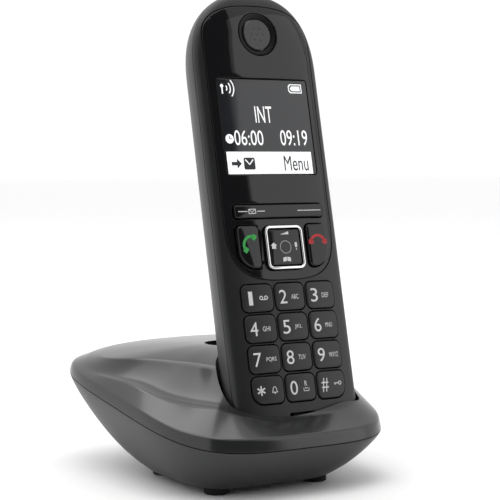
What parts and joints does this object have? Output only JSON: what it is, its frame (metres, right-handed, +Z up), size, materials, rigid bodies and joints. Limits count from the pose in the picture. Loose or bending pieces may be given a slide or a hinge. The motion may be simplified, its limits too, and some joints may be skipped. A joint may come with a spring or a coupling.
{
  "type": "cordless telephone with charging base",
  "caption": "Cordless telephone handset with display and keypad, standing in a low rounded charging base with a cradle well, paging button and rear sockets.",
  "frame": {"origin": "on the table, under the middle of the base", "axes": "+Z up, the keypad faces -Y, +X to the right of someone facing the keypad"},
  "size_m": [0.088, 0.107, 0.1648],
  "materials": {
    "base_gloss": "dark grey, semi-gloss",
    "base_satin": "dark grey, satin",
    "black_rubber": "black, matte",
    "board_green": "green circuit board",
    "bright_chrome": "bright plated frame",
    "cell_sleeve": "printed sleeve round a steel cell",
    "clear_lens": "smoke-tinted clear window, polished",
    "display_glass": null,
    "ear_plastic": "dark grey satin",
    "gloss_panel": "polished piano black",
    "jack_plastic": "black moulded plastic",
    "key_plastic": "very dark grey with white printed characters",
    "matte_body": "very dark grey, fine spark-eroded grain, satin",
    "screw_steel": "zinc-plated steel",
    "silicone": "grey silicone",
    "speaker_metal": "pressed steel can",
    "spring_steel": "plated spring steel"
  },
  "bodies": {
    "base": {"base_antenna": "spring_steel", "base_board": "board_green", "base_bottom_shell": "base_satin", "base_screw_1": "screw_steel", "base_screw_2": "screw_steel", "base_top_shell": "base_gloss", "rubber_foot_1": "black_rubber", "rubber_foot_2": "black_rubber", "rubber_foot_3": "black_rubber", "rubber_foot_4": "black_rubber", "power_socket": "jack_plastic", "line_socket": "jack_plastic"},
    "handset": {"battery_cell_left": "cell_sleeve", "battery_cell_right": "cell_sleeve", "cell_minus_plate_left": "spring_steel", "cell_minus_plate_right": "spring_steel", "cell_plus_plate_left": "spring_steel", "cell_plus_plate_right": "spring_steel", "charge_pad_left": "spring_steel", "charge_pad_right": "spring_steel", "display_lens": "clear_lens", "earpiece_grille": "ear_plastic", "earpiece_ring": "gloss_panel", "earpiece_speaker": "speaker_metal", "front_panel": "gloss_panel", "front_shell": "matte_body", "handset_antenna": "spring_steel", "handset_board": "board_green", "keypad_mat": "silicone", "lcd_module": "display_glass", "microphone": "speaker_metal", "nav_ring": "bright_chrome", "rear_shell": "matte_body", "ringer_speaker": "speaker_metal"},
    "key_1": {"key_1": "key_plastic"},
    "key_2": {"key_2": "key_plastic"},
    "key_3": {"key_3": "key_plastic"},
    "key_4": {"key_4": "key_plastic"},
    "key_5": {"key_5": "key_plastic"},
    "key_6": {"key_6": "key_plastic"},
    "key_7": {"key_7": "key_plastic"},
    "key_8": {"key_8": "key_plastic"},
    "key_9": {"key_9": "key_plastic"},
    "key_star": {"key_star": "key_plastic"},
    "key_0": {"key_0": "key_plastic"},
    "key_hash": {"key_hash": "key_plastic"},
    "talk_key": {"talk_key": "gloss_panel"},
    "end_key": {"end_key": "gloss_panel"},
    "softkey_bar": {"softkey_bar": "gloss_panel"},
    "nav_stem": {"nav_stem": "jack_plastic"},
    "nav_pad": {"nav_pad": "gloss_panel"},
    "battery_cover": {"battery_cover": "matte_body"},
    "paging_button": {"paging_button": "jack_plastic"},
    "charge_spring_left": {"charge_spring_left": "spring_steel"},
    "charge_spring_right": {"charge_spring_right": "spring_steel"}
  },
  "joints": [
    {"name": "handset_lift", "type": "slide", "parent": "base", "child": "handset", "axis": [0, 0.2226, 0.9749], "range_m": [0, 0.05]},
    {"name": "key_1_press", "type": "slide", "parent": "handset", "child": "key_1", "axis": [0, 0.9749, -0.2226], "range_m": [0, 0.0008], "stiffness_N_per_m": 400, "springref_m": -0.0004},
    {"name": "key_2_press", "type": "slide", "parent": "handset", "child": "key_2", "axis": [0, 0.9749, -0.2226], "range_m": [0, 0.0008], "stiffness_N_per_m": 400, "springref_m": -0.0004},
    {"name": "key_3_press", "type": "slide", "parent": "handset", "child": "key_3", "axis": [0, 0.9749, -0.2226], "range_m": [0, 0.0008], "stiffness_N_per_m": 400, "springref_m": -0.0004},
    {"name": "key_4_press", "type": "slide", "parent": "handset", "child": "key_4", "axis": [0, 0.9749, -0.2226], "range_m": [0, 0.0008], "stiffness_N_per_m": 400, "springref_m": -0.0004},
    {"name": "key_5_press", "type": "slide", "parent": "handset", "child": "key_5", "axis": [0, 0.9749, -0.2226], "range_m": [0, 0.0008], "stiffness_N_per_m": 400, "springref_m": -0.0004},
    {"name": "key_6_press", "type": "slide", "parent": "handset", "child": "key_6", "axis": [0, 0.9749, -0.2226], "range_m": [0, 0.0008], "stiffness_N_per_m": 400, "springref_m": -0.0004},
    {"name": "key_7_press", "type": "slide", "parent": "handset", "child": "key_7", "axis": [0, 0.9749, -0.2226], "range_m": [0, 0.0008], "stiffness_N_per_m": 400, "springref_m": -0.0004},
    {"name": "key_8_press", "type": "slide", "parent": "handset", "child": "key_8", "axis": [0, 0.9749, -0.2226], "range_m": [0, 0.0008], "stiffness_N_per_m": 400, "springref_m": -0.0004},
    {"name": "key_9_press", "type": "slide", "parent": "handset", "child": "key_9", "axis": [0, 0.9749, -0.2226], "range_m": [0, 0.0008], "stiffness_N_per_m": 400, "springref_m": -0.0004},
    {"name": "key_star_press", "type": "slide", "parent": "handset", "child": "key_star", "axis": [0, 0.9749, -0.2226], "range_m": [0, 0.0008], "stiffness_N_per_m": 400, "springref_m": -0.0004},
    {"name": "key_0_press", "type": "slide", "parent": "handset", "child": "key_0", "axis": [0, 0.9749, -0.2226], "range_m": [0, 0.0008], "stiffness_N_per_m": 400, "springref_m": -0.0004},
    {"name": "key_hash_press", "type": "slide", "parent": "handset", "child": "key_hash", "axis": [0, 0.9749, -0.2226], "range_m": [0, 0.0008], "stiffness_N_per_m": 400, "springref_m": -0.0004},
    {"name": "talk_key_press", "type": "slide", "parent": "handset", "child": "talk_key", "axis": [0, 0.9749, -0.2226], "range_m": [0, 0.0008], "stiffness_N_per_m": 400, "springref_m": -0.0004},
    {"name": "end_key_press", "type": "slide", "parent": "handset", "child": "end_key", "axis": [0, 0.9749, -0.2226], "range_m": [0, 0.0008], "stiffness_N_per_m": 400, "springref_m": -0.0004},
    {"name": "softkey_rock", "type": "hinge", "parent": "handset", "child": "softkey_bar", "pos_m": [0.0069, -0.02218, 0.08998], "axis": [0, 0.2226, 0.9749], "range_deg": [-2.5, 2.5], "stiffness_Nm_per_rad": 0.05},
    {"name": "nav_pitch", "type": "hinge", "parent": "handset", "child": "nav_stem", "pos_m": [0.0069, -0.02498, 0.0777], "axis": [1, 0, 0], "range_deg": [-3, 3], "stiffness_Nm_per_rad": 0.05},
    {"name": "nav_roll", "type": "hinge", "parent": "nav_stem", "child": "nav_pad", "pos_m": [0.0069, -0.02498, 0.0777], "axis": [0, 0.2226, 0.9749], "range_deg": [-3, 3], "stiffness_Nm_per_rad": 0.05},
    {"name": "cover_remove", "type": "slide", "parent": "handset", "child": "battery_cover", "axis": [0, 0.9749, -0.2226], "range_m": [0, 0.015]},
    {"name": "paging_press", "type": "slide", "parent": "base", "child": "paging_button", "axis": [0, 0, -1], "range_m": [0, 0.0008], "stiffness_N_per_m": 500, "springref_m": -0.0004},
    {"name": "charge_spring_left_flex", "type": "slide", "parent": "base", "child": "charge_spring_left", "axis": [0, -0.2226, -0.9749], "range_m": [0, 0.0008], "stiffness_N_per_m": 400, "springref_m": -0.0002},
    {"name": "charge_spring_right_flex", "type": "slide", "parent": "base", "child": "charge_spring_right", "axis": [0, -0.2226, -0.9749], "range_m": [0, 0.0008], "stiffness_N_per_m": 400, "springref_m": -0.0002}
  ]
}
